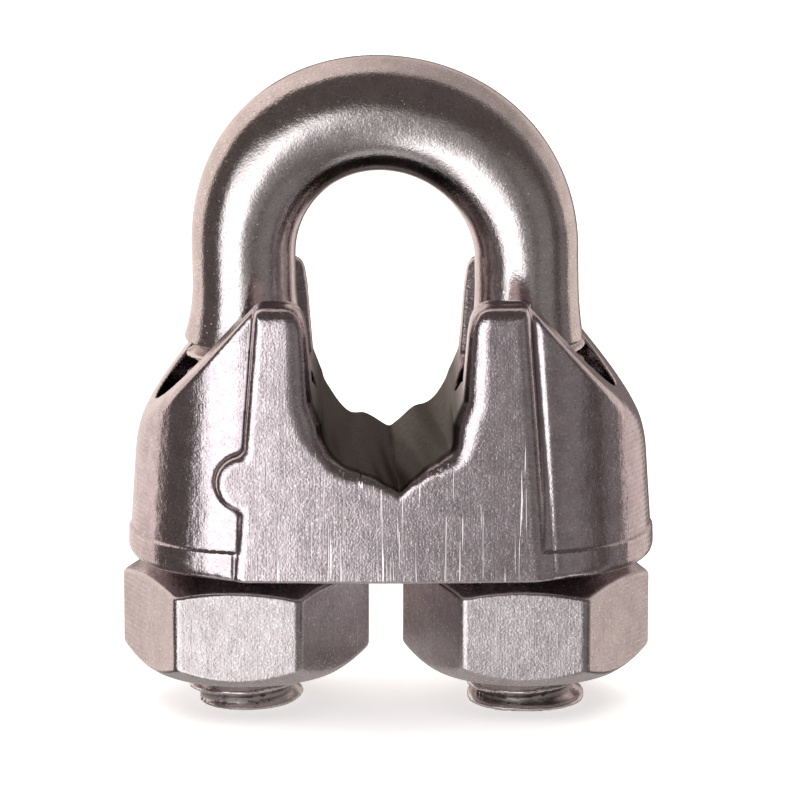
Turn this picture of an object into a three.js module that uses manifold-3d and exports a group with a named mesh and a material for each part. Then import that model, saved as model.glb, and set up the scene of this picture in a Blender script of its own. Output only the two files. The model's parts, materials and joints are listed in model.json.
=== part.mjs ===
// Wire rope clip for 6 mm (1/4 in) rope: U-bolt, saddle and two heavy hex nuts.
// Units are millimetres and +Z is up. The legs lie at x = -9.25 and x = +9.25 in the
// plane y = 0, the leg ends stand on z = 0 and the rope passes through along Y.
import * as THREE from 'three';
import { mergeVertices, toCreasedNormals } from 'three/addons/utils/BufferGeometryUtils.js';
import Module from 'manifold-3d';

const wasm = await Module();
wasm.setup();

// U-bolt
const LEG_X = 9.25;
const BAR_IN_PLANE = 3.4;
const BAR_ACROSS = 3.2;
const CROWN_GROWTH = 0.144;
const INNER_THINNING = 0.12;
const INNER_FILL = 0.05;
const BEND_Z = 30.2;
const CROWN_SPREAD = 0.16;
const CROWN_LEAN = 0.6;
const SHANK_START = 24.5;
const BAR_SEGMENTS = 20;
const BOW_STEPS = 34;
const FLARE_RADIUS = 3.85;
const FLARE_TOP = 28.4;

// Thread, 5/16 in with 18 turns per inch, right hand
const PITCH = 1.4111;
const THREAD_CREST = 3.85;
const THREAD_ROOT = 3.08;
const THREAD_SEGMENTS = 20;
const THREAD_TOP = 24.9;
const THREAD_START = -2.0;
const THREAD_TURNS = 20;
const LEG_CHAMFER = 0.35;
const THREAD_PLAY = 0.12;

// Heavy hex nut, 9/16 in across flats
const ACROSS_FLATS = 14.29;
const NUT_BOTTOM = 2.45;
const NUT_HEIGHT = 7.5;
const TOP_FACE_RADIUS = 4.9;
const TOP_CHAMFER = THREE.MathUtils.degToRad(22);
const BOTTOM_FACE_RADIUS = 6.45;
const BOTTOM_CHAMFER = THREE.MathUtils.degToRad(36);
const MOUTH_RADIUS = 4.25;
const MOUTH_DEPTH = 0.5;
const NUT_SEGMENTS = 48;
const LEFT_NUT_TURN = THREE.MathUtils.degToRad(-4);
const RIGHT_NUT_TURN = THREE.MathUtils.degToRad(-2);

// Saddle
const SADDLE_OFFSET = 0.33;
const SADDLE_BOTTOM = 10.0;
const RIM_TOP = 12.25;
const BOSS_RADIUS = 8.05;
const BOSS_RADIUS_HIGH = 7.0;
const EAR_TOP = 28.5;
const PANEL_HALF_Y = 8.45;
const BOSS_SEGMENTS = 56;
const LOBE_RADIUS = 1.95;
const LOBE_X = -9.55;
const LOBE_Z = 16.65;
const HOLE_RADIUS = 4.3;
const POCKET_RADIUS = 4.6;
const POCKET_REACH = 1.2;
const POCKET_FLOOR = 16.85;
const EAR_GAP_HALF_Y = 4.4;
const EAR_GAP_TOP = 6.2;
const EAR_GAP_FLOOR = 22.15;

// Rope seat: grooved at the rear, opening to a plainer valley at the front
const SEAT_X = 0.05;
const SEAT_LOW = 16.6;
const SEAT_DROP = 0.3;
const REAR_SLOPE = 0.35;
const FRONT_SLOPE = 0.62;
const SEAT_TILT = 0.14;
const SEAT_FLANK = 1.15;
const FLANK_START = 2.5;
const SEAT_HALF_WIDTH = 4.0;
const VALLEY_OFFSET = 0.5;
const RIDGE_HEIGHT = 0.55;
const RIDGE_SPACING = 3.4;
const ROPE_LAY = 0.03;
const SEAT_STEPS = 6;
const SEAT_POINTS = 20;

const CREASE_ANGLE = THREE.MathUtils.degToRad(32);

function toSolid(geometry) {
  const bare = new THREE.BufferGeometry();
  bare.setAttribute('position', geometry.getAttribute('position').clone());
  if (geometry.index) bare.setIndex(geometry.index.clone());
  const merged = mergeVertices(bare, 1e-4);
  return new wasm.Manifold(new wasm.Mesh({
    numProp: 3,
    vertProperties: new Float32Array(merged.getAttribute('position').array),
    triVerts: new Uint32Array(merged.index.array),
  }));
}

function toNode(name, solid, material) {
  const surface = solid.getMesh();
  const geometry = new THREE.BufferGeometry();
  geometry.setAttribute('position', new THREE.BufferAttribute(surface.vertProperties, 3));
  geometry.setIndex(new THREE.BufferAttribute(surface.triVerts, 1));
  const node = new THREE.Mesh(toCreasedNormals(geometry, CREASE_ANGLE), material);
  node.name = name;
  return node;
}

function vectors(points) {
  return points.map(([x, y]) => new THREE.Vector2(x, y));
}

// Solid of revolution about +Z; the profile is radius and height pairs.
function turned(profile, segments) {
  const geometry = new THREE.LatheGeometry(vectors(profile), segments);
  return geometry.rotateX(Math.PI / 2);
}

// Outline in X and Z, extruded along Y between two planes.
function extrudedAlongY(points, from, to, steps = 1) {
  const geometry = new THREE.ExtrudeGeometry(new THREE.Shape(vectors(points)), {
    depth: to - from,
    steps,
    bevelEnabled: false,
  });
  return geometry.rotateX(Math.PI / 2).translate(0, to, 0);
}

// Outline in Y and Z, extruded along X between two planes.
function extrudedAlongX(points, from, to) {
  const geometry = new THREE.ExtrudeGeometry(new THREE.Shape(vectors(points)), {
    depth: to - from,
    bevelEnabled: false,
  });
  return geometry.rotateX(Math.PI / 2).rotateZ(Math.PI / 2).translate(from, 0, 0);
}

function mirrored(halfOutline) {
  const other = halfOutline.map(([x, z]) => [-x, z]).reverse();
  return [...halfOutline, ...other];
}

// Rod about +Z whose surface winds up by one pitch per turn, closed by a fan at each end.
function threadedRod(rootRadius, crestRadius) {
  const knots = [
    [0, rootRadius],
    [0.25, rootRadius],
    [0.5625, crestRadius],
    [0.6875, crestRadius],
  ];
  const perTurn = knots.length;
  const levels = perTurn * THREAD_TURNS + 1;
  const positions = [];
  for (let i = 0; i < THREAD_SEGMENTS; i += 1) {
    const share = i / THREAD_SEGMENTS;
    const angle = share * Math.PI * 2;
    for (let m = 0; m < levels + perTurn; m += 1) {
      const [rise, radius] = knots[m % perTurn];
      const turn = Math.floor(m / perTurn);
      const z = THREAD_START + PITCH * (turn + rise + share);
      positions.push(radius * Math.cos(angle), radius * Math.sin(angle), z);
    }
  }
  const column = levels + perTurn;
  const at = (i, m) => (i < THREAD_SEGMENTS ? i * column + m : m + perTurn);
  const indices = [];
  for (let i = 0; i < THREAD_SEGMENTS; i += 1) {
    for (let m = 0; m < levels - 1; m += 1) {
      indices.push(at(i, m), at(i + 1, m), at(i + 1, m + 1));
      indices.push(at(i, m), at(i + 1, m + 1), at(i, m + 1));
    }
  }
  const foot = positions.length / 3;
  positions.push(0, 0, THREAD_START);
  const head = foot + 1;
  positions.push(0, 0, THREAD_START + PITCH * (THREAD_TURNS + 1));
  const top = levels - 1;
  for (let i = 0; i < THREAD_SEGMENTS; i += 1) {
    indices.push(foot, at(i + 1, 0), at(i, 0));
    indices.push(head, at(i, top), at(i + 1, top));
  }
  for (let m = 0; m < perTurn; m += 1) {
    indices.push(foot, at(0, m), at(0, m + 1));
    indices.push(head, at(0, top + m + 1), at(0, top + m));
  }
  const geometry = new THREE.BufferGeometry();
  geometry.setAttribute('position', new THREE.Float32BufferAttribute(positions, 3));
  geometry.setIndex(indices);
  return geometry;
}

// Centreline of the bar above the threads: up one leg, round the bow, down the other.
class BowLine extends THREE.Curve {
  getPoint(t, target = new THREE.Vector3()) {
    const straight = BEND_Z - SHANK_START;
    const length = 2 * straight + Math.PI * LEG_X;
    const along = t * length;
    if (along < straight) return target.set(-LEG_X, 0, SHANK_START + along);
    if (along > length - straight) return target.set(LEG_X, 0, SHANK_START + length - along);
    const angle = (along - straight) / LEG_X;
    return target.set(-LEG_X * Math.cos(angle), 0, BEND_Z + LEG_X * Math.sin(angle));
  }
}

// The bar is a little thicker at the crown than at the legs, more on the outside than on
// the inside, and the bow is slightly square and leans to the left.
function shapeCrown(geometry) {
  const position = geometry.getAttribute('position');
  const crownTop = BEND_Z + LEG_X + BAR_IN_PLANE * (1 + CROWN_GROWTH);
  for (let i = 0; i < position.count; i += 1) {
    let x = position.getX(i);
    let z = position.getZ(i);
    if (z > BEND_Z) {
      const reach = Math.hypot(x, z - BEND_Z);
      const lift = (z - BEND_Z) / reach;
      const side = x / reach;
      const diagonal = (2 * lift * side) ** 2;
      let growth = 1 + CROWN_GROWTH * lift;
      if (reach < LEG_X) {
        growth += INNER_FILL * diagonal - (INNER_THINNING * lift * (1 - side)) / 2;
      }
      const scale = (LEG_X + CROWN_SPREAD * diagonal + (reach - LEG_X) * growth) / reach;
      x *= scale;
      z = BEND_Z + (z - BEND_Z) * scale;
    }
    const height = Math.max(0, z - SHANK_START) / (crownTop - SHANK_START);
    position.setX(i, x - CROWN_LEAN * height * height);
    position.setZ(i, z);
  }
  return geometry;
}

function buildBow() {
  const section = [];
  for (let i = 0; i < BAR_SEGMENTS; i += 1) {
    const angle = (i / BAR_SEGMENTS) * Math.PI * 2;
    section.push(new THREE.Vector2(BAR_ACROSS * Math.cos(angle), BAR_IN_PLANE * Math.sin(angle)));
  }
  const geometry = new THREE.ExtrudeGeometry(new THREE.Shape(section), {
    steps: BOW_STEPS,
    bevelEnabled: false,
    extrudePath: new BowLine(),
  });
  return toSolid(shapeCrown(geometry));
}

// Threaded end of one leg; the shank flares a little where the thread runs out below it.
function buildLeg() {
  const envelope = toSolid(turned([
    [0, 0],
    [THREAD_CREST - LEG_CHAMFER, 0],
    [THREAD_CREST + 0.1, LEG_CHAMFER + 0.1],
    [THREAD_CREST + 0.1, THREAD_TOP],
    [0, THREAD_TOP],
  ], BAR_SEGMENTS));
  const flare = toSolid(turned([
    [0, SHANK_START - 0.3],
    [THREAD_ROOT + 0.1, SHANK_START - 0.3],
    [FLARE_RADIUS, SHANK_START],
    [FLARE_RADIUS - 0.05, THREAD_TOP],
    [FLARE_RADIUS - 0.3, THREAD_TOP + 1.2],
    [BAR_ACROSS + 0.05, FLARE_TOP],
    [0, FLARE_TOP],
  ], BAR_SEGMENTS));
  return toSolid(threadedRod(THREAD_ROOT, THREAD_CREST)).intersect(envelope).add(flare);
}

function buildUBolt(material) {
  const leg = buildLeg();
  const solid = buildBow()
    .add(leg.translate(-LEG_X, 0, 0))
    .add(leg.translate(LEG_X, 0, 0));
  return toNode('u_bolt', solid, material);
}

// Hexagon cut back by a cone on each face; the thread matches the leg it runs on.
function buildNut() {
  const cornerRadius = ACROSS_FLATS / Math.sqrt(3);
  const top = NUT_BOTTOM + NUT_HEIGHT;
  const prism = toSolid(turned([
    [0, NUT_BOTTOM],
    [cornerRadius, NUT_BOTTOM],
    [cornerRadius, top],
    [0, top],
  ], 6)).rotate(0, 0, 30);
  const reach = cornerRadius + 0.5;
  const cones = toSolid(turned([
    [0, NUT_BOTTOM],
    [BOTTOM_FACE_RADIUS, NUT_BOTTOM],
    [reach, NUT_BOTTOM + (reach - BOTTOM_FACE_RADIUS) * Math.tan(BOTTOM_CHAMFER)],
    [reach, top - (reach - TOP_FACE_RADIUS) * Math.tan(TOP_CHAMFER)],
    [TOP_FACE_RADIUS, top],
    [0, top],
  ], NUT_SEGMENTS));
  const countersink = toSolid(turned([
    [0, -MOUTH_DEPTH],
    [MOUTH_RADIUS + MOUTH_DEPTH, -MOUTH_DEPTH],
    [MOUTH_RADIUS - MOUTH_DEPTH, MOUTH_DEPTH],
    [0, MOUTH_DEPTH],
  ], BAR_SEGMENTS));
  const bore = toSolid(threadedRod(THREAD_ROOT + THREAD_PLAY, THREAD_CREST + THREAD_PLAY));
  return prism
    .intersect(cones)
    .subtract(bore)
    .subtract(countersink.translate(0, 0, NUT_BOTTOM))
    .subtract(countersink.rotate(180, 0, 0).translate(0, 0, top));
}

function placeNut(name, solid, material, legX, turn) {
  const node = toNode(name, solid, material);
  node.position.x = legX;
  node.rotation.z = turn;
  return node;
}

// Outline that trims the saddle from the front: sloping shoulders and flat-topped ears.
function saddleFrontOutline() {
  const half = [
    [18, SADDLE_BOTTOM],
    [18, 16.8],
    [16.75, 18.95],
    [16.25, 19.75],
    [15.6, 20.5],
    [9.3, 27.65],
    [8.8, 28.25],
    [8.0, EAR_TOP],
  ];
  return mirrored(half).map(([x, z]) => [x + SADDLE_OFFSET, z]);
}

// Half outline of the bosses and of the web between them: foot rim, taper, closed top.
function bossProfile() {
  return [
    [0, SADDLE_BOTTOM],
    [BOSS_RADIUS - 0.7, SADDLE_BOTTOM],
    [BOSS_RADIUS - 0.15, SADDLE_BOTTOM + 0.45],
    [BOSS_RADIUS + 0.05, SADDLE_BOTTOM + 1.1],
    [BOSS_RADIUS, RIM_TOP - 0.15],
    [BOSS_RADIUS - 0.12, RIM_TOP],
    [BOSS_RADIUS_HIGH + 0.35, 20.35],
    [BOSS_RADIUS_HIGH, EAR_TOP + 1],
    [0, EAR_TOP + 1],
  ];
}

// Proud panel on both faces, a little wider at the foot, with one round lobe at the front.
function buildPanel() {
  const outline = mirrored([
    [10.3, SADDLE_BOTTOM + 0.1],
    [9.7, 18.35],
    [8.9, EAR_TOP + 1],
  ]).map(([x, z]) => [x + SADDLE_OFFSET, z]);
  const slab = toSolid(extrudedAlongY(outline, -PANEL_HALF_Y, PANEL_HALF_Y));
  const side = toSolid(extrudedAlongX(mirrored([
    [PANEL_HALF_Y - 0.25, SADDLE_BOTTOM],
    [PANEL_HALF_Y, SADDLE_BOTTOM + 0.25],
    [PANEL_HALF_Y, EAR_TOP - 1.2],
    [PANEL_HALF_Y - 0.25, EAR_TOP - 0.5],
    [PANEL_HALF_Y - 0.7, EAR_TOP - 0.1],
    [PANEL_HALF_Y - 1.2, EAR_TOP + 0.05],
    [EAR_GAP_HALF_Y, EAR_TOP],
  ]), -2 * LEG_X, 2 * LEG_X));
  const lobe = new THREE.CylinderGeometry(LOBE_RADIUS, LOBE_RADIUS, 4, 28)
    .translate(LOBE_X + SADDLE_OFFSET, 2 - PANEL_HALF_Y, LOBE_Z);
  return slab.intersect(side).add(toSolid(lobe));
}

// Height of the seat at a distance from its valley; front runs from 0 at the rear to 1.
function seatHeight(across, front) {
  const width = Math.abs(across);
  const wave = (1 - Math.cos((2 * Math.PI * across) / RIDGE_SPACING)) / 2;
  const fade = Math.min(Math.max(2.2 - width / FLANK_START, 0), 1) * (1 - 0.8 * front);
  const slope = REAR_SLOPE + (FRONT_SLOPE - REAR_SLOPE) * front;
  const flank = SEAT_FLANK * Math.max(width - FLANK_START - 1.7 * front, 0);
  const rise = slope * width + SEAT_TILT * across + flank;
  return SEAT_LOW - SEAT_DROP * front + rise + RIDGE_HEIGHT * wave * fade;
}

// Grooved seat between two walls; the grooves lean across the seat from back to front.
function buildSeatCut() {
  const floor = [];
  for (let i = 0; i <= SEAT_POINTS; i += 1) {
    const across = SEAT_HALF_WIDTH * ((2 * i) / SEAT_POINTS - 1);
    floor.push([SEAT_X + across, SEAT_LOW]);
  }
  const wall = [
    [4.9, 21.95],
    [5.12, 23.55],
    [5.2, 27.25],
    [5.6, 28.15],
    [6.3, EAR_TOP + 0.1],
    [6.3, EAR_TOP + 2],
  ];
  const left = wall.map(([x, z]) => [SEAT_X - x, z]).reverse();
  const right = wall.map(([x, z]) => [SEAT_X + x, z]);
  const reach = PANEL_HALF_Y + 0.5;
  const geometry = extrudedAlongY([...left, ...floor, ...right], -reach, reach, SEAT_STEPS);
  const position = geometry.getAttribute('position');
  for (let i = 0; i < position.count; i += 1) {
    if (position.getZ(i) < SEAT_LOW + 1) {
      const y = position.getY(i);
      const across = position.getX(i) - SEAT_X - VALLEY_OFFSET + ROPE_LAY * y;
      position.setZ(i, seatHeight(across, 0.5 - y / (2 * reach)));
    }
  }
  return toSolid(geometry);
}

// Hole for one leg, the wider pocket above it and the gap between front and rear ear,
// which opens upwards so that the ears are thinner at their tops.
function buildLegCut(side) {
  const hole = new THREE.CylinderGeometry(HOLE_RADIUS, HOLE_RADIUS, 40, 36)
    .rotateX(Math.PI / 2)
    .translate(side * LEG_X, 0, 20);
  const pocketHeight = EAR_TOP + 2 - POCKET_FLOOR;
  const pocketMiddle = POCKET_FLOOR + pocketHeight / 2;
  const inner = new THREE.CylinderGeometry(POCKET_RADIUS, POCKET_RADIUS, pocketHeight, 36)
    .rotateX(Math.PI / 2)
    .translate(side * LEG_X, 0, pocketMiddle);
  const outer = inner.clone().translate(side * POCKET_REACH, 0, 0);
  const between = new THREE.BoxGeometry(POCKET_REACH, 2 * POCKET_RADIUS, pocketHeight)
    .translate(side * (LEG_X + POCKET_REACH / 2), 0, pocketMiddle);
  const earGap = extrudedAlongX(mirrored([
    [EAR_GAP_HALF_Y, EAR_GAP_FLOOR],
    [EAR_GAP_TOP, EAR_TOP],
    [EAR_GAP_TOP, EAR_TOP + 2],
  ]), Math.min(side, 0) * LEG_X, Math.max(side, 0) * LEG_X);
  return [inner, outer, between, earGap]
    .reduce((cut, geometry) => cut.add(toSolid(geometry)), toSolid(hole));
}

function buildSaddle(material) {
  const boss = toSolid(turned(bossProfile(), BOSS_SEGMENTS));
  const web = toSolid(extrudedAlongX(mirrored(bossProfile().slice(1, -1)), -LEG_X, LEG_X));
  const outline = toSolid(extrudedAlongY(saddleFrontOutline(), -2 * LEG_X, 2 * LEG_X));
  const solid = boss.translate(-LEG_X, 0, 0)
    .add(boss.translate(LEG_X, 0, 0))
    .add(web)
    .translate(SADDLE_OFFSET, 0, 0)
    .add(buildPanel())
    .intersect(outline)
    .subtract(buildSeatCut())
    .subtract(buildLegCut(-1))
    .subtract(buildLegCut(1));
  return toNode('saddle', solid, material);
}

function steel(color, roughness) {
  return new THREE.MeshStandardMaterial({ color, roughness, metalness: 1 });
}

const polished = steel(0xbdb4b2, 0.24);
const satin = steel(0xb3aba9, 0.34);
const brushed = steel(0xc4bbb8, 0.38);

const nut = buildNut();
const clip = new THREE.Group();
clip.name = 'wire_rope_clip';
clip.add(
  buildUBolt(polished),
  buildSaddle(satin),
  placeNut('left_nut', nut, brushed, -LEG_X, LEFT_NUT_TURN),
  placeNut('right_nut', nut, brushed, LEG_X, RIGHT_NUT_TURN),
);

export default clip;
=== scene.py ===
"""Wire rope clip in tumbled stainless steel: a bent U-bolt, a saddle and two heavy hex nuts.

Each piece is the zero surface of a field of millimetres, negative inside the metal,
so its fillets, rounded edges and running threads are real shape.
"""

import json
import math
from types import SimpleNamespace

import bpy
import numpy as np
import openvdb
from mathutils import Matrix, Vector


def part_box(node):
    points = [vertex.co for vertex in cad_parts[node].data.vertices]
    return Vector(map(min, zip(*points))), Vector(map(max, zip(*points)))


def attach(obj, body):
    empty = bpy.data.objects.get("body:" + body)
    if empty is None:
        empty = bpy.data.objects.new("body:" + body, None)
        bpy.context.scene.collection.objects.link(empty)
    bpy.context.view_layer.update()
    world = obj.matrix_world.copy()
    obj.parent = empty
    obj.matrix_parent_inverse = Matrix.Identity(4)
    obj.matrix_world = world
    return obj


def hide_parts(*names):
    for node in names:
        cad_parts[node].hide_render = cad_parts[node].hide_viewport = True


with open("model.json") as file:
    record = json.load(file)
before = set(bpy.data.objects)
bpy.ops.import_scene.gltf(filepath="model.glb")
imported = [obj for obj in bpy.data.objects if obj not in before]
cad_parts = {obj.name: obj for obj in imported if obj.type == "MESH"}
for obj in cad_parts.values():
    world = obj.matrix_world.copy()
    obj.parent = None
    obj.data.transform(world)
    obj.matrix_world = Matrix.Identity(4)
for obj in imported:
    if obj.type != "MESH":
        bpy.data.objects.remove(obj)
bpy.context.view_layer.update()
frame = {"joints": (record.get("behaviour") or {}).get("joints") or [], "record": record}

MM = 0.001
RECORD = frame["record"]
JOINTS = {joint["name"]: joint for joint in frame["joints"]}
COUPLINGS = {row["joint"]: row for row in RECORD["behaviour"]["couplings"]}
MOUNTS = {mount["name"]: mount for mount in RECORD["mounts"]}


def corners(node):
    """Lowest and highest corner of a CAD node, in millimetres."""
    low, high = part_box(node)
    return np.array(low) / MM, np.array(high) / MM


U_LOW, U_HIGH = corners("u_bolt")
SADDLE_LOW, SADDLE_HIGH = corners("saddle")
NUT_LOW, NUT_HIGH = corners("right_nut")

# U-bolt: bar, bow and the flare where the thread runs out
LEG_X = JOINTS["right_nut_turn"]["pos_m"][0] / MM
CROWN_TOP = U_HIGH[2]
BAR_IN_PLANE = 3.4
BAR_ACROSS = 3.2
CROWN_GROWTH = 0.144
BEND_Z = CROWN_TOP - LEG_X - BAR_IN_PLANE * (1 + CROWN_GROWTH)
CROWN_LEAN = 0.6
CROWN_SPREAD = 0.16
INNER_THINNING = 0.12
INNER_FILL = 0.05
SHANK_START = 24.5
FLARE_TOP = 28.4
FLARE_LEFT = 0.6
FLARE_RIGHT = 0.3

# Thread
PITCH = COUPLINGS["saddle_slide"]["ratio"] * 2 * math.pi / MM
THREAD_CREST = U_HIGH[1]
THREAD_ROOT = 3.08
THREAD_TOP = 24.9
THREAD_START = -2.0
ROOT_END = 0.25
CREST_START = 0.5625
CREST_END = 0.6875
THREAD_SLOPE = 0.8
THREAD_PLAY = 0.12
LEG_CHAMFER = 0.45
SHEARED_END = 0.4
SHEAR_SQUARENESS = 2.6
SHEAR_SPREAD = 0.15

# Nut
NUT_BOTTOM = NUT_LOW[2]
NUT_TOP = NUT_HIGH[2]
TOP_FACE_RADIUS = 4.9
TOP_CHAMFER = math.radians(22)
BOTTOM_FACE_RADIUS = 6.45
BOTTOM_CHAMFER = math.radians(36)
MOUTH_RADIUS = 4.25
NUT_CORNER = 0.35
NUT_EDGE = 0.2

# Saddle body
SADDLE_OFFSET = (SADDLE_LOW[0] + SADDLE_HIGH[0]) / 2
SADDLE_BOTTOM = SADDLE_LOW[2]
EAR_TOP = SADDLE_HIGH[2]
PANEL_HALF_Y = SADDLE_HIGH[1]
RIM_RADIUS = SADDLE_HIGH[0] - SADDLE_OFFSET - LEG_X
RIM_TOP = 12.1
RIM_BLEND = 0.18
RIM_STEP = 0.15
WAIST_Z = 20.35
WAIST_RADIUS = 7.35
HIGH_RADIUS = 7.0
RIM_TAPER = 0.05
SHOULDER = ((15.3, 20.85), (9.3, 27.65))
SHOULDER_ROUND = 0.4
HAUNCH = ((17.9, 17.0), (15.8, 20.6))
HAUNCH_ROUND = 0.9
PANEL_ROUND_LEFT = 0.7
PANEL_ROUND_RIGHT = 1.0
PANEL_BLEND = 0.2
FOOT_ROUND = (0.4, 1.0)
EAR_ROUND = 0.4
EAR_FRONT_ROUND = 1.4
PANEL_FOOT = 10.3
PANEL_WAIST = 9.7
PANEL_WAIST_Z = 18.35
PANEL_TOP = 8.9
PANEL_SAG = 0.3
GROOVE_OFFSET = 0.3
GROOVE_WIDTH = 0.22
GROOVE_DEPTH = 0.09
GROOVE_FADE = ((11, WAIST_Z), (0.5, 1))
FOOT_LINE = (0.13, 0.1)
LOBE_RADIUS = 1.95
LOBE_X = -9.55
LOBE_Z = 16.65
LOBE_BLEND = 0.5

# Saddle holes and pockets
HOLE_RADIUS = 4.3
POCKET_RADIUS = 4.6
POCKET_REACH = 1.2
POCKET_FLOOR = 16.85
GAP_HALF_Y = 4.4
GAP_TOP_HALF_Y = 6.2
GAP_FLOOR = 22.15

# Rope seat: grooved at the rear, opening to a plainer valley at the front
SEAT_X = 0.05
SEAT_LOW = 16.6
SEAT_DROP = 0.3
REAR_SLOPE = 0.35
FRONT_SLOPE = 0.62
SEAT_TILT = 0.14
SEAT_FLANK = 1.15
FLANK_START = 2.5
VALLEY_OFFSET = 0.5
RIDGE_HEIGHT = 0.55
RIDGE_SPACING = 3.4
ROPE_LAY = 0.03
WIRE_SPACING = 1.15
WIRE_HEIGHT = 0.03
WIRE_SLANT = 0.09
WALL_LOW = (20.4, 4.25)
WALL_MIDDLE = (22.0, 4.85)
WALL_HIGH = (26.4, 5.2)
WALL_LIP = (28.5, 5.5)
FRONT_FILLET = (0.7, 1.9, 1.3)
REAR_FILLET = 0.8
CUT_ROUND = 0.25

# Meshing
U_VOXEL = 0.2
SADDLE_VOXEL = 0.16
NUT_VOXEL = 0.16
MARGIN = 0.6
SLAB = 16
PROBE = 0.02
EDGE_REACH = 0.3
EDGE_GAIN = 0.75


def smooth_max(a, b, radius):
    """Larger of two fields, with the edge between them rounded off."""
    near = np.maximum(radius - np.abs(a - b), 0) / radius
    return np.maximum(a, b) + near * near * radius / 4


def smooth_min(a, b, radius):
    """Smaller of two fields, with the corner between them filled in."""
    return -smooth_max(-a, -b, radius)


def thread_radius(x, y, z, root, crest):
    """Radius of a right-hand thread about Z at the angle and height of each point."""
    turn = (z - THREAD_START) / PITCH - np.arctan2(y, x) / (2 * math.pi)
    knots = (0, ROOT_END, CREST_START, CREST_END, 1)
    return np.interp(turn - np.floor(turn), knots, (root, root, crest, crest, root))


def bow_field(x, y, z):
    """Bar of the U-bolt above the threads: thicker at the crown, leaning to the left."""
    height = np.maximum(z - SHANK_START, 0) / (CROWN_TOP - SHANK_START)
    upright = x + CROWN_LEAN * height * height
    above = np.maximum(z - BEND_Z, 0)
    reach = np.maximum(np.hypot(upright, above), 1)
    lift = above / reach
    side = upright / reach
    diagonal = (2 * lift * side) ** 2
    across = reach - LEG_X - CROWN_SPREAD * diagonal
    inner = INNER_FILL * diagonal - INNER_THINNING * lift * (1 - side) / 2
    across = across / (1 + CROWN_GROWTH * lift + np.where(across < 0, inner, 0))
    around = np.hypot(across / BAR_IN_PLANE, y / BAR_ACROSS)
    low = np.clip((FLARE_TOP - z) / (FLARE_TOP - SHANK_START), 0, 1)
    flare = low * low * np.where(x < 0, FLARE_LEFT, FLARE_RIGHT)
    return smooth_max((around - 1) * BAR_ACROSS - flare, SHANK_START - z, 0.3)


def leg_field(x, y, z):
    """Threaded ends of both legs; the right one is sheared off and pressed a little square."""
    local = np.where(x < 0, x + LEG_X, x - LEG_X)
    radius = np.hypot(local, y)
    thread = radius - thread_radius(local, y, z, THREAD_ROOT, THREAD_CREST)
    power = SHEAR_SQUARENESS
    pressed = (np.abs(local) ** power + np.abs(y) ** power) ** (1 / power)
    sheared = smooth_max(pressed - THREAD_CREST, z - SHEARED_END, 0.3)
    thread = np.where(x > 0, smooth_min(thread, sheared, 0.2), thread)
    bevel = np.where(x < 0, LEG_CHAMFER, -SHEAR_SPREAD)
    chamfer = (radius - THREAD_CREST + bevel - z) * THREAD_SLOPE
    thread = smooth_max(thread * THREAD_SLOPE, chamfer, 0.15)
    thread = smooth_max(thread, -z, 0.12)
    return smooth_max(thread, z - THREAD_TOP, 0.1)


def u_bolt_field(x, y, z):
    return smooth_min(bow_field(x, y, z), leg_field(x, y, z), 0.15)


def nut_field(leg, turn, flat_radius):
    """Field of a heavy hex nut on one leg, turned from having a flat towards -Y."""
    cos, sin = math.cos(turn), math.sin(turn)
    directions = [math.radians(30 + 60 * side) for side in range(3)]

    def field(x, y, z):
        east = (x - leg) * cos + y * sin
        north = y * cos - (x - leg) * sin
        radius = np.hypot(east, north)
        sides = [np.abs(east * math.cos(d) + north * math.sin(d)) for d in directions]
        hexagon = smooth_max(smooth_max(sides[0], sides[1], NUT_CORNER), sides[2], NUT_CORNER)
        top = (z - NUT_TOP) * math.cos(TOP_CHAMFER)
        top = top + (radius - TOP_FACE_RADIUS) * math.sin(TOP_CHAMFER)
        bottom = (NUT_BOTTOM - z) * math.cos(BOTTOM_CHAMFER)
        bottom = bottom + (radius - BOTTOM_FACE_RADIUS) * math.sin(BOTTOM_CHAMFER)
        body = smooth_max(hexagon - flat_radius, smooth_max(top, z - NUT_TOP, NUT_EDGE), NUT_EDGE)
        body = smooth_max(body, smooth_max(bottom, NUT_BOTTOM - z, NUT_EDGE), NUT_EDGE)
        root, crest = THREAD_ROOT + THREAD_PLAY, THREAD_CREST + THREAD_PLAY
        bore = (radius - thread_radius(east, north, z, root, crest)) * THREAD_SLOPE
        depth = np.maximum(z - NUT_TOP, NUT_BOTTOM - z)
        mouth = (radius - MOUTH_RADIUS - depth) * THREAD_SLOPE
        return smooth_max(body, -smooth_min(bore, mouth, 0.1), 0.15)

    return field


def beyond_line(x, z, line):
    """Distance outwards of points from a line in X and Z that runs up to the left."""
    (low_x, low_z), (high_x, high_z) = line
    length = math.hypot(high_x - low_x, high_z - low_z)
    return ((x - low_x) * (high_z - low_z) - (z - low_z) * (high_x - low_x)) / length


def panel_width(z):
    """Half the width of the proud panel at a height."""
    heights = (SADDLE_BOTTOM, PANEL_WAIST_Z, EAR_TOP)
    return np.interp(z, heights, (PANEL_FOOT, PANEL_WAIST, PANEL_TOP))


def panel_front(across, y):
    """Distance outwards of points from the slightly bulging faces of the panel."""
    return np.abs(y) - PANEL_HALF_Y + PANEL_SAG * (across / PANEL_FOOT) ** 2


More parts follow.
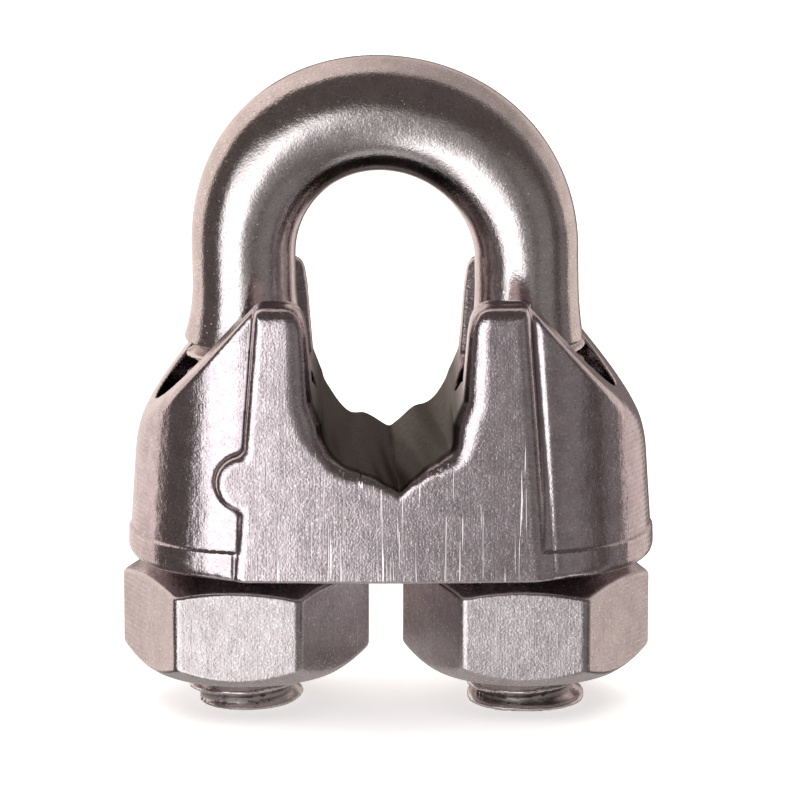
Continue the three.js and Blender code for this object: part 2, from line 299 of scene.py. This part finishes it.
def boss_field(across, y, z):
    """Two tapering bosses and the web between them, with a slight step above the foot rim."""
    radius = np.hypot(np.maximum(np.abs(across) - LEG_X, 0), y)
    heights = (SADDLE_BOTTOM, RIM_TOP - RIM_BLEND, RIM_TOP, WAIST_Z, EAR_TOP)
    rim = RIM_RADIUS - RIM_TAPER
    radii = (RIM_RADIUS, rim, rim - RIM_STEP, WAIST_RADIUS, HIGH_RADIUS)
    beside = (across - panel_width(z) - GROOVE_OFFSET) / GROOVE_WIDTH
    groove = GROOVE_DEPTH * np.exp(-beside * beside) * np.interp(z, *GROOVE_FADE)
    line_width, line_depth = FOOT_LINE
    beside = (across + panel_width(z)) / line_width
    line = line_depth * np.exp(-beside * beside) * np.clip((RIM_TOP - z) / 0.3, 0, 1) * (y < 0)
    return radius - np.interp(z, heights, radii) + groove + line


def panel_field(across, y, z):
    """Proud panel on both faces, with a round lobe on the left side of the front one."""
    sides = np.abs(across) - panel_width(z)
    lobe = np.hypot(across - LOBE_X, z - LOBE_Z) - LOBE_RADIUS
    sides = np.where(y < 0, smooth_min(sides, lobe, LOBE_BLEND), sides)
    front = panel_front(across, y)
    rounding = np.where(across < 0, PANEL_ROUND_LEFT, PANEL_ROUND_RIGHT)
    slab = smooth_max(sides, front, rounding)
    return np.maximum(slab, smooth_max(front, z - EAR_TOP, EAR_FRONT_ROUND))


def seat_height(across, front):
    """Height of the seat at a distance from its valley; front runs from 0 at the rear to 1."""
    width = np.abs(across)
    wave = (1 - np.cos(2 * math.pi * across / RIDGE_SPACING)) / 2
    fade = np.clip(2.2 - width / FLANK_START, 0, 1) * (1 - 0.8 * front)
    slope = REAR_SLOPE + (FRONT_SLOPE - REAR_SLOPE) * front
    beyond = smooth_max(width - FLANK_START - 1.7 * front, np.zeros_like(width), 0.5)
    rise = slope * width + SEAT_TILT * across + SEAT_FLANK * beyond
    return SEAT_LOW - SEAT_DROP * front + rise + RIDGE_HEIGHT * wave * fade


def seat_field(x, y, z):
    """Grooved rope seat between two walls, negative where the rope lies."""
    front = np.clip(0.5 - y / (2 * PANEL_HALF_Y), 0, 1)
    across = x - SEAT_X - VALLEY_OFFSET + ROPE_LAY * y
    wires = np.cos(2 * math.pi * (across + WIRE_SLANT * y) / WIRE_SPACING)
    floor = seat_height(across, front) + WIRE_HEIGHT * wires * (0.4 + 0.6 * front)
    steepness = np.where(np.abs(across) > FLANK_START, 0.6, 0.8)
    heights, halves = zip(WALL_LOW, WALL_MIDDLE, WALL_HIGH, WALL_LIP)
    wall = np.abs(x - SEAT_X) - np.interp(z, heights, halves)
    return smooth_max((floor - z) * steepness, wall, 0.4)


def leg_cut_field(x, y, z):
    """Leg holes, the wider pockets above them and the gaps between front and rear ears."""
    outward = np.abs(x) - LEG_X
    hole = np.hypot(outward, y) - HOLE_RADIUS
    beyond = outward - np.clip(outward, 0, POCKET_REACH)
    pocket = smooth_max(np.hypot(beyond, y) - POCKET_RADIUS, POCKET_FLOOR - z, 0.4)
    half = np.interp(z, (GAP_FLOOR, EAR_TOP), (GAP_HALF_Y, GAP_TOP_HALF_Y))
    gap = np.maximum(np.abs(y) - half, outward)
    gap = smooth_max(gap, GAP_FLOOR - z, 0.4)
    return smooth_min(np.minimum(hole, pocket), gap, 0.3)


def saddle_field(x, y, z):
    across = x - SADDLE_OFFSET
    body = smooth_min(boss_field(across, y, z), panel_field(across, y, z), PANEL_BLEND)
    foot = np.interp(np.abs(across), (PANEL_WAIST, PANEL_FOOT + 1.2), FOOT_ROUND)
    body = smooth_max(body, SADDLE_BOTTOM - z, foot)
    body = smooth_max(body, beyond_line(np.abs(across), z, HAUNCH), HAUNCH_ROUND)
    body = smooth_max(body, beyond_line(np.abs(across), z, SHOULDER), SHOULDER_ROUND)
    body = smooth_max(body, z - EAR_TOP, EAR_ROUND)
    front_fillet = np.interp(z, (SEAT_LOW, WALL_LOW[0], EAR_TOP), FRONT_FILLET)
    fillet = np.where(y < 0, front_fillet, REAR_FILLET)
    body = smooth_max(body, -seat_field(x, y, z), fillet)
    return smooth_max(body, -leg_cut_field(x, y, z), CUT_ROUND)


def seat_floor_shade(points):
    """Painted shade on the seat floor: one on the floor of the rope seat, fading to zero up its walls
    and outside.
    """
    inside = np.clip((0.24 - seat_field(*points.T)) / 0.12, 0, 1)
    return inside * np.clip((WALL_MIDDLE[0] + 2 - points[:, 2]) / 3, 0, 1)


def slope_of(field, points):
    """Gradient of a field at each point."""
    slope = np.empty_like(points)
    for axis in range(3):
        step = np.zeros(3)
        step[axis] = PROBE
        ahead = field(*(points + step).T)
        behind = field(*(points - step).T)
        slope[:, axis] = (ahead - behind) / (2 * PROBE)
    return slope


def settle(field, points, voxel):
    """Moves points onto the zero surface of a field."""
    for _ in range(3):
        slope = slope_of(field, points)
        steepness = np.maximum((slope * slope).sum(1), 0.05)
        shift = np.clip(field(*points.T) / steepness, -voxel / 2, voxel / 2)
        points = points - slope * shift[:, None]
    return points


def edge_of(field, points, normals):
    """How sharply the surface turns at each point: positive on edges, negative in corners."""
    helper = np.where(np.abs(normals[:, 2:]) > 0.7, (1.0, 0, 0), (0, 0, 1.0))
    first = np.cross(normals, helper)
    first = first / np.linalg.norm(first, axis=1, keepdims=True)
    second = np.cross(normals, first)
    total = np.zeros(len(points))
    for side in (first, -first, second, -second):
        total = total + field(*(points + side * EDGE_REACH).T)
    return np.clip(total / EDGE_REACH * EDGE_GAIN, -1, 1)


def sampled(field, low, counts, voxel):
    """Values of a field on a grid of points, filled in slab by slab."""
    axes = [low[i] + voxel * np.arange(counts[i]) for i in range(3)]
    values = np.empty(counts, np.float32)
    for start in range(0, counts[0], SLAB):
        part = slice(start, start + SLAB)
        x, y, z = np.meshgrid(axes[0][part], axes[1], axes[2], indexing="ij")
        values[part] = field(x, y, z)
    return values


def store(mesh, name, values):
    """Keeps one number for each vertex, for the materials to read."""
    attribute = mesh.attributes.new(name, "FLOAT", "POINT")
    attribute.data.foreach_set("value", values.astype(np.float32))


def surface(name, field, box, voxel):
    """Smooth closed mesh of a field inside a box, with its edge attribute."""
    low = box[0] - MARGIN
    counts = [int(math.ceil(side / voxel)) + 1 for side in box[1] - box[0] + 2 * MARGIN]
    grid = openvdb.FloatGrid(MARGIN * 10)
    grid.copyFromArray(sampled(field, low, counts, voxel))
    points, _, quads = grid.convertToPolygons(isovalue=0.0, adaptivity=0.0)
    points = settle(field, points.astype(float) * voxel + low, voxel)
    slope = slope_of(field, points)
    normals = slope / np.linalg.norm(slope, axis=1, keepdims=True)
    mesh = bpy.data.meshes.new(name)
    mesh.from_pydata((points * MM).tolist(), [], quads.tolist())
    mesh.shade_smooth()
    mesh.normals_split_custom_set_from_vertices(normals.tolist())
    store(mesh, "edge", edge_of(field, points, normals))
    piece = bpy.data.objects.new(name, mesh)
    bpy.context.scene.collection.objects.link(piece)
    return piece, points


# Steel: scales in features to the millimetre, depths in millimetres
GRAIN_SCALE = 6.5
PATCH_SCALE = 2.2
MOTTLE_SCALE = 0.8
DENT_SCALE = 0.35
SCRATCH_SCALE = 5.5
SCRATCH_STRETCH = 0.022
HAIR_SCALE = 11.0
FLOW_SCALE = 0.55
FLOW_STRETCH = (1, 1, 0.07)
GRIND_START = 15.4
GRIND_SCALE = 0.9
DENT_DEPTH = 0.03
MOTTLE_DEPTH = 0.02
FLOW_DEPTH = 0.07
BOSS_PATCH_DEPTH = 0.012
GRIND_DEPTH = 0.012
SCRATCH_DEPTH = 0.015
SPECK_COLOUR = (0.95, 0.92, 0.93, 1)
SCRATCH_COLOUR = (0.95, 0.93, 0.93, 1)
WORN_COLOUR = (0.76, 0.72, 0.71, 1)
# Painted shade on the seat floor: a near-black colour, and a dim tint for its edge reflections
SEAT_SHADE_COLOUR = (0.056, 0.05, 0.047, 1)
SEAT_SHADE_EDGE_TINT = (0.72, 0.7, 0.68, 1)


class Nodes:
    """Adds nodes to a tree; keyword inputs are values or sockets to link."""

    def __init__(self, tree):
        self.tree = tree
        tree.nodes.clear()

    def add(self, kind, inputs=(), **settings):
        node = self.tree.nodes.new(kind)
        for key, value in settings.items():
            setattr(node, key, value)
        for key, value in dict(inputs).items():
            if isinstance(value, bpy.types.NodeSocket):
                self.tree.links.new(value, node.inputs[key])
            else:
                node.inputs[key].default_value = value
        return node

    def math(self, operation, first, second=0.0, third=0.0):
        inputs = {0: first, 1: second, 2: third}
        return self.add("ShaderNodeMath", inputs, operation=operation).outputs[0]

    def ramp(self, value, low, high, to_low=0.0, to_high=1.0):
        """Smooth step of a value from one number to another."""
        inputs = {"Value": value, "From Min": low, "From Max": high}
        inputs.update({"To Min": to_low, "To Max": to_high})
        node = self.add("ShaderNodeMapRange", inputs, interpolation_type="SMOOTHSTEP")
        return node.outputs["Result"]

    def within(self, value, start, full, falling, end):
        """One between full and falling, down to zero at start and end."""
        rise = self.ramp(value, start, full)
        fall = self.ramp(value, falling, end, 1.0, 0.0)
        return self.math("MULTIPLY", rise, fall)

    def noise(self, vector, scale, detail=2.0, roughness=0.5, stretch=(1, 1, 1)):
        """Noise about zero to one over millimetres, drawn out along the axes of stretch."""
        scaled = self.add(
            "ShaderNodeVectorMath", {0: vector, 1: stretch}, operation="MULTIPLY"
        ).outputs[0]
        inputs = {"Vector": scaled, "Scale": scale, "Detail": detail, "Roughness": roughness}
        return self.add("ShaderNodeTexNoise", inputs).outputs["Fac"]

    def blend(self, share, first, second):
        """Colour between two colours."""
        inputs = {"Factor": share, "A": first, "B": second}
        node = self.add("ShaderNodeMix", data_type="RGBA")
        for key, index in (("Factor", 0), ("A", 6), ("B", 7)):
            value = inputs[key]
            if isinstance(value, bpy.types.NodeSocket):
                self.tree.links.new(value, node.inputs[index])
            else:
                node.inputs[index].default_value = value
        return node.outputs[2]

    def bump(self, height, depth, normal=None):
        """Relief of a given depth in millimetres for heights from zero to one."""
        inputs = {"Height": height, "Distance": depth * MM, "Strength": 1.0}
        if normal is not None:
            inputs["Normal"] = normal
        return self.add("ShaderNodeBump", inputs).outputs["Normal"]


def steel_marks(nodes, scratch_axis, scratch_share, scratch_area):
    """Where the grain, dents, scratches, grind lines and worn edges lie, and the rougher corners and
    the seat floor that get painted shade.
    """
    place = nodes.add("ShaderNodeTexCoord").outputs["Object"]
    mm = nodes.add(
        "ShaderNodeVectorMath", {0: place, "Scale": 1 / MM}, operation="SCALE"
    ).outputs[0]
    east, _, height = nodes.add("ShaderNodeSeparateXYZ", {0: mm}).outputs
    reach = nodes.math("ABSOLUTE", east)
    edge = nodes.add("ShaderNodeAttribute", attribute_name="edge").outputs["Fac"]
    marks = SimpleNamespace()
    marks.worn = nodes.ramp(edge, 0.15, 0.8)
    # corner: rougher, and darkened with painted shade in the colour
    marks.corner = nodes.ramp(edge, -0.1, -0.7)
    # dark is the painted shade on the seat floor, one where the rope seat lies in shadow
    marks.dark = nodes.add("ShaderNodeAttribute", attribute_name="seat_floor_shade").outputs["Fac"]
    marks.grain = nodes.noise(mm, GRAIN_SCALE, 2.0, 0.65)
    marks.patch = nodes.noise(mm, PATCH_SCALE, 2.0, 0.5)
    marks.mottle = nodes.noise(mm, MOTTLE_SCALE, 4.0, 0.55)
    marks.dents = nodes.noise(mm, DENT_SCALE, 2.0, 0.5)
    marks.speck = nodes.ramp(marks.grain, 0.58, 0.72)
    marks.pit = nodes.ramp(marks.grain, 0.42, 0.28)

    along = tuple(SCRATCH_STRETCH if axis == scratch_axis else 1.0 for axis in "XYZ")
    drawn = nodes.noise(mm, SCRATCH_SCALE, 1.0, 0.5, stretch=along)
    marks.hair = nodes.noise(mm, HAIR_SCALE, 1.0, 0.5, stretch=along)
    half_width, top = scratch_area
    side = half_width + 0.3
    scratch = nodes.ramp(drawn, 1 - scratch_share, 1.1 - scratch_share)
    scratch = nodes.math("MULTIPLY", scratch, nodes.ramp(reach, side, half_width))
    marks.scratch = nodes.math("MULTIPLY", scratch, nodes.ramp(height, top + 2.5, top))

    marks.boss = nodes.ramp(reach, side, side + 2.5)
    marks.flow = nodes.math("SUBTRACT", nodes.noise(mm, FLOW_SCALE, 2.0, 0.5, FLOW_STRETCH), 0.5)
    lines = nodes.add(
        "ShaderNodeTexWave",
        {"Vector": mm, "Scale": GRIND_SCALE, "Distortion": 2.5, "Detail": 1.0, "Detail Scale": 0.4},
        bands_direction="Z",
    ).outputs["Fac"]
    ends = nodes.ramp(reach, GRIND_START, GRIND_START + 0.6)
    marks.grind = nodes.math("MULTIPLY", lines, ends)
    return marks


def steel_tone(nodes, marks, bright, dull):
    """Colour of the metal, bright on worn edges and scratches, with painted shade in the corners and
    on the seat floor.
    """

    def shaded(share):
        return (*[share * channel for channel in dull], 1)

    tone = nodes.blend(nodes.ramp(marks.mottle, 0.3, 0.7), shaded(1.0), (*bright, 1))
    layers = (
        (marks.pit, 0.65, shaded(0.5)),
        (marks.speck, 0.75, SPECK_COLOUR),
        (marks.grind, 0.2, shaded(0.5)),
        # Painted shade in the corners
        (marks.corner, 0.6, shaded(0.35)),
        (marks.worn, 0.5, WORN_COLOUR),
        (marks.scratch, 0.85, SCRATCH_COLOUR),
    )
    for mask, strength, colour in layers:
        tone = nodes.blend(nodes.math("MULTIPLY", mask, strength), tone, colour)
    # Painted shade on the seat floor, almost black
    return nodes.blend(marks.dark, tone, SEAT_SHADE_COLOUR)


def steel_roughness(nodes, marks, roughness):
    rough = nodes.math("MULTIPLY_ADD", marks.grain, 0.1, roughness - 0.05)
    rough = nodes.math("MULTIPLY_ADD", marks.patch, 0.1, nodes.math("SUBTRACT", rough, 0.05))
    changes = ((marks.worn, -0.05), (marks.corner, 0.2), (marks.scratch, 0.2), (marks.dark, 0.25))
    for mask, change in changes:
        rough = nodes.math("MULTIPLY_ADD", mask, change, rough)
    return rough


def steel_relief(nodes, marks, grain_depth):
    """Fine relief, from broad dents down to grain; the seat floor under the painted shade and the
    bosses are calmer.
    """
    calm = nodes.math("MULTIPLY_ADD", marks.dark, -0.85, 1.0)
    calm = nodes.math("MULTIPLY_ADD", marks.boss, -0.3, calm)
    layers = (
        (marks.dents, DENT_DEPTH),
        (marks.mottle, MOTTLE_DEPTH),
        (nodes.math("MULTIPLY", marks.flow, marks.boss), FLOW_DEPTH),
        (nodes.math("MULTIPLY", marks.patch, marks.boss), BOSS_PATCH_DEPTH),
        (marks.patch, grain_depth * 0.4),
        (nodes.math("MULTIPLY", marks.grain, calm), grain_depth),
        (marks.hair, grain_depth * 0.22),
        (marks.grind, GRIND_DEPTH),
        (nodes.math("SUBTRACT", 1.0, marks.scratch), SCRATCH_DEPTH),
    )
    normal = None
    for height, depth in layers:
        normal = nodes.bump(height, depth, normal)
    return normal


def steel(name, bright, dull, roughness, grain_depth, scratch_axis, scratch_share, scratch_area):
    """Tumbled stainless steel with grain, dents, thin scratches, worn edges and rougher corners, with
    painted shade in the corners and on the seat floor.
    """
    material = bpy.data.materials.new(name)
    material.use_nodes = True
    nodes = Nodes(material.node_tree)
    marks = steel_marks(nodes, scratch_axis, scratch_share, scratch_area)
    inputs = {
        "Base Color": steel_tone(nodes, marks, bright, dull),
        "Metallic": 1.0,
        "Roughness": steel_roughness(nodes, marks, roughness),
        # The painted seat shade also dims the edge reflections of the seat floor
        "Specular Tint": nodes.blend(marks.dark, (1, 1, 1, 1), SEAT_SHADE_EDGE_TINT),
        "Normal": steel_relief(nodes, marks, grain_depth),
    }
    shader = nodes.add("ShaderNodeBsdfPrincipled", inputs)
    nodes.add("ShaderNodeOutputMaterial", {"Surface": shader.outputs[0]})
    return material


def finish_piece(piece, node, material):
    piece.data.materials.append(material)
    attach(piece, node)
    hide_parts(node)


def build_u_bolt():
    piece, _ = surface("u_bolt_bar", u_bolt_field, (U_LOW, U_HIGH), U_VOXEL)
    material = steel(
        "u_bolt steel", (0.66, 0.605, 0.61), (0.56, 0.51, 0.515), 0.15, 0.011, "Y", 0.25, (30, 60)
    )
    finish_piece(piece, "u_bolt", material)


def build_saddle():
    piece, points = surface("saddle_body", saddle_field, (SADDLE_LOW, SADDLE_HIGH), SADDLE_VOXEL)
    # Painted shade on the seat floor, one number a vertex for the material
    store(piece.data, "seat_floor_shade", seat_floor_shade(points))
    material = steel(
        "saddle steel", (0.63, 0.56, 0.592), (0.5, 0.44, 0.465), 0.175, 0.017, "Z", 0.375, (9.2, 17.5)
    )
    finish_piece(piece, "saddle", material)


def build_nut(node):
    """Nut on its own leg; the flat named in the record says how far it is turned."""
    mount = MOUNTS[node + "_flat"]
    leg = JOINTS[node + "_turn"]["pos_m"][0] / MM
    east, north = mount["axis"][0], mount["axis"][1]
    flat_radius = (mount["pos_m"][0] / MM - leg) * east + mount["pos_m"][1] / MM * north
    field = nut_field(leg, math.atan2(east, -north), flat_radius)
    piece, _ = surface(node + "_hex", field, corners(node), NUT_VOXEL)
    material = steel(
        node + " steel", (0.55, 0.505, 0.515), (0.47, 0.425, 0.437), 0.24, 0.016, "Z", 0.29, (30, 60)
    )
    finish_piece(piece, node, material)


# Floor and card
FLOOR_RADIUS = 3.0
FLOOR_RISE = 3.0
FLOOR_FLAT_SHARE = 0.3
FLOOR_RINGS = 24
FLOOR_SEGMENTS = 96
FLOOR_GLOW = 0.62
CARD_RADIUS = 0.016
CARD_DROP = 0.0001
CARD_GLOW = 0.5
CARD_COLOUR = (1.0, 0.92, 0.89, 1)
PALE = (0.93, 0.925, 0.92, 1)

# Studio, in degrees of azimuth from -Y towards +X and of elevation: start, full, falling, end
KEY_BOX = ((-54.0, -45.0, -14.0, 1.5), (-58.0, -40.0, 4.0, 22.0))
KEY_GLOW = 1.95
FILL_BOX = ((-30.0, -10.0, 8.0, 22.0), (-62.0, -48.0, 2.0, 18.0))
FILL_GLOW = 0.22
SIDE_BOX = ((12.0, 32.0, 52.0, 64.0), (-60.0, -40.0, 0.0, 20.0))
SIDE_GLOW = 0.15
STRIP_AZIMUTH = (72.0, 80.0, 92.0, 100.0)
STRIP_GLOW = 0.12
ROOM_GLOW = 0.1
TABLE_RAMP = (-76.0, -54.0, 0.9, 0.0)
FRONT_TINT = (0.015, -0.005, -0.01)
BACKDROP_LOW = (-0.6, 0.7, 1.12, 0.8)
BACKDROP_HIGH = (-0.8, 0.5, 1.15, 0.37)
BACKDROP_COLOUR = (1.0, 0.865, 0.79, 1)
LAMP_PLACE = (-0.1, 0.1, 1.1)
LAMP_SIZE = 2.4
LAMP_POWER = 16.0


def build_floor():
    """Pale round floor that curves up all round, so that no horizon shows."""
    vertices = [(0, 0, 0)]
    for ring in range(1, FLOOR_RINGS + 1):
        share = ring / FLOOR_RINGS
        height = FLOOR_RISE * max(0.0, share - FLOOR_FLAT_SHARE) ** 2
        for step in range(FLOOR_SEGMENTS):
            angle = 2 * math.pi * step / FLOOR_SEGMENTS
            reach = FLOOR_RADIUS * share
            vertices.append((reach * math.cos(angle), reach * math.sin(angle), height))
    faces = []
    for step in range(FLOOR_SEGMENTS):
        after = (step + 1) % FLOOR_SEGMENTS
        faces.append((0, 1 + step, 1 + after))
        for ring in range(FLOOR_RINGS - 1):
            base = 1 + ring * FLOOR_SEGMENTS
            above = base + FLOOR_SEGMENTS
            faces.append((base + step, above + step, above + after, base + after))
    mesh = bpy.data.meshes.new("floor")
    mesh.from_pydata(vertices, [], faces)
    mesh.shade_smooth()
    floor = bpy.data.objects.new("floor", mesh)
    bpy.context.scene.collection.objects.link(floor)
    material = bpy.data.materials.new("pale floor")
    material.use_nodes = True
    nodes = Nodes(material.node_tree)
    matt = nodes.add("ShaderNodeBsdfDiffuse", {"Color": PALE})
    glow = nodes.add("ShaderNodeEmission", {"Color": PALE, "Strength": FLOOR_GLOW})
    both = nodes.add("ShaderNodeAddShader", {0: matt.outputs[0], 1: glow.outputs[0]})
    nodes.add("ShaderNodeOutputMaterial", {"Surface": both.outputs[0]})
    mesh.materials.append(material)
    floor.visible_glossy = False
    floor.visible_shadow = False
    floor.visible_diffuse = False


def build_card():
    """Lit floor close to the clip, seen only as a reflection in the metal."""
    mesh = bpy.data.meshes.new("card")
    angles = [2 * math.pi * step / FLOOR_SEGMENTS for step in range(FLOOR_SEGMENTS)]
    rim = [(CARD_RADIUS * math.cos(a), CARD_RADIUS * math.sin(a), -CARD_DROP) for a in angles]
    mesh.from_pydata(rim, [], [tuple(range(FLOOR_SEGMENTS))])
    card = bpy.data.objects.new("card", mesh)
    bpy.context.scene.collection.objects.link(card)
    material = bpy.data.materials.new("lit card")
    material.use_nodes = True
    nodes = Nodes(material.node_tree)
    glow = nodes.add("ShaderNodeEmission", {"Color": CARD_COLOUR, "Strength": CARD_GLOW})
    nodes.add("ShaderNodeOutputMaterial", {"Surface": glow.outputs[0]})
    mesh.materials.append(material)
    card.visible_camera = False
    card.visible_shadow = False
    card.visible_diffuse = False


def studio_backdrop(nodes, x, y, z, elevation):
    """Warm backdrop behind, brighter to the left, with a dark outline straight behind."""
    behind = nodes.math("MULTIPLY_ADD", z, 0.226, y)
    low = nodes.ramp(x, *BACKDROP_LOW)
    high = nodes.ramp(x, *BACKDROP_HIGH)
    up = nodes.ramp(z, 0.0, 0.6)
    side = nodes.math("MULTIPLY_ADD", up, nodes.math("SUBTRACT", high, low), low)
    backdrop = nodes.math("MULTIPLY", nodes.ramp(behind, 0.1, 0.18), side)
    backdrop = nodes.math("MULTIPLY", backdrop, nodes.ramp(elevation, -40.0, -26.0))
    straight = nodes.math("MULTIPLY_ADD", z, -0.242, nodes.math("MULTIPLY", y, 0.97))
    beside = nodes.math("MULTIPLY_ADD", nodes.math("ADD", z, 0.242), 0.8, x)
    outline = nodes.math("MULTIPLY", nodes.ramp(straight, 0.82, 0.92), nodes.ramp(beside, 0.0, 0.08))
    return nodes.math("MULTIPLY", backdrop, nodes.math("MULTIPLY_ADD", outline, -0.9, 1.0))


def studio_front(nodes, azimuth, elevation):
    """Brightness of the soft boxes in front and at the sides, and of the table below."""

    def box(across, upwards):
        return nodes.math(
            "MULTIPLY", nodes.within(azimuth, *across), nodes.within(elevation, *upwards)
        )

    strip = nodes.math("MULTIPLY", nodes.within(azimuth, *STRIP_AZIMUTH), STRIP_GLOW)
    base = nodes.math("MULTIPLY_ADD", box(*SIDE_BOX), SIDE_GLOW, ROOM_GLOW)
    base = nodes.math("MULTIPLY_ADD", strip, nodes.ramp(elevation, 70.0, 40.0), base)
    base = nodes.math("ADD", base, nodes.ramp(elevation, *TABLE_RAMP))
    base = nodes.math("MULTIPLY_ADD", box(*FILL_BOX), FILL_GLOW, base)
    return nodes.math("MULTIPLY_ADD", box(*KEY_BOX), KEY_GLOW, base)


def build_world():
    """Studio as the metal sees it; the camera itself sees only a plain pale room."""
    world = bpy.data.worlds.new("studio")
    bpy.context.scene.world = world
    world.use_nodes = True
    nodes = Nodes(world.node_tree)
    direction = nodes.add("ShaderNodeTexCoord").outputs["Generated"]
    x, y, z = nodes.add("ShaderNodeSeparateXYZ", {0: direction}).outputs
    azimuth = nodes.math("ARCTAN2", x, nodes.math("MULTIPLY", y, -1.0))
    azimuth = nodes.math("MULTIPLY", azimuth, 180 / math.pi)
    elevation = nodes.math("MULTIPLY", nodes.math("ARCSINE", z), 180 / math.pi)
    grey = studio_front(nodes, azimuth, elevation)
    channels = {row: nodes.math("ADD", grey, shift) for row, shift in enumerate(FRONT_TINT)}
    neutral = nodes.add("ShaderNodeCombineColor", channels).outputs[0]
    backdrop = studio_backdrop(nodes, x, y, z, elevation)
    warm = nodes.blend(backdrop, (0, 0, 0, 1), BACKDROP_COLOUR)
    light = nodes.add("ShaderNodeMix", {0: 1.0}, data_type="RGBA", blend_type="ADD")
    nodes.tree.links.new(neutral, light.inputs[6])
    nodes.tree.links.new(warm, light.inputs[7])
    camera_ray = nodes.add("ShaderNodeLightPath").outputs["Is Camera Ray"]
    seen = nodes.blend(camera_ray, light.outputs[2], PALE)
    shader = nodes.add("ShaderNodeBackground", {"Color": seen, "Strength": 1.0})
    nodes.add("ShaderNodeOutputWorld", {"Surface": shader.outputs[0]})


def build_lamp():
    """Wide overhead lamp that lights the floor and gives the clip a soft shadow."""
    lamp = bpy.data.lights.new("overhead", "AREA")
    lamp.shape = "DISK"
    lamp.size = LAMP_SIZE
    lamp.energy = LAMP_POWER
    holder = bpy.data.objects.new("overhead", lamp)
    holder.location = LAMP_PLACE
    holder.rotation_mode = "QUATERNION"
    holder.rotation_quaternion = holder.location.to_track_quat("Z", "Y")
    holder.visible_glossy = False
    holder.visible_camera = False
    bpy.context.scene.collection.objects.link(holder)


# Camera, aimed at a point a little under half way up
CAMERA_AZIMUTH = math.radians(-0.47)
CAMERA_ELEVATION = math.radians(14)
CAMERA_DISTANCE = 0.427
CAMERA_LENS = 292.0
AIM_SHARE = 0.4696
SHIFT_X = 0.0176
SHIFT_Y = -0.0013


def build_camera():
    data = bpy.data.cameras.new("camera")
    data.lens = CAMERA_LENS
    data.shift_x = SHIFT_X
    data.shift_y = SHIFT_Y
    data.clip_start = 0.01
    data.clip_end = 20
    camera = bpy.data.objects.new("camera", data)
    back = Vector((
        math.sin(CAMERA_AZIMUTH) * math.cos(CAMERA_ELEVATION),
        -math.cos(CAMERA_AZIMUTH) * math.cos(CAMERA_ELEVATION),
        math.sin(CAMERA_ELEVATION),
    ))
    camera.location = Vector((0, 0, AIM_SHARE * CROWN_TOP * MM)) + back * CAMERA_DISTANCE
    camera.rotation_mode = "QUATERNION"
    camera.rotation_quaternion = back.to_track_quat("Z", "Y")
    bpy.context.scene.collection.objects.link(camera)
    bpy.context.scene.camera = camera


build_u_bolt()
build_saddle()
build_nut("left_nut")
build_nut("right_nut")
build_floor()
build_card()
build_world()
build_lamp()
build_camera()
bpy.context.scene.view_settings.view_transform = "Standard"
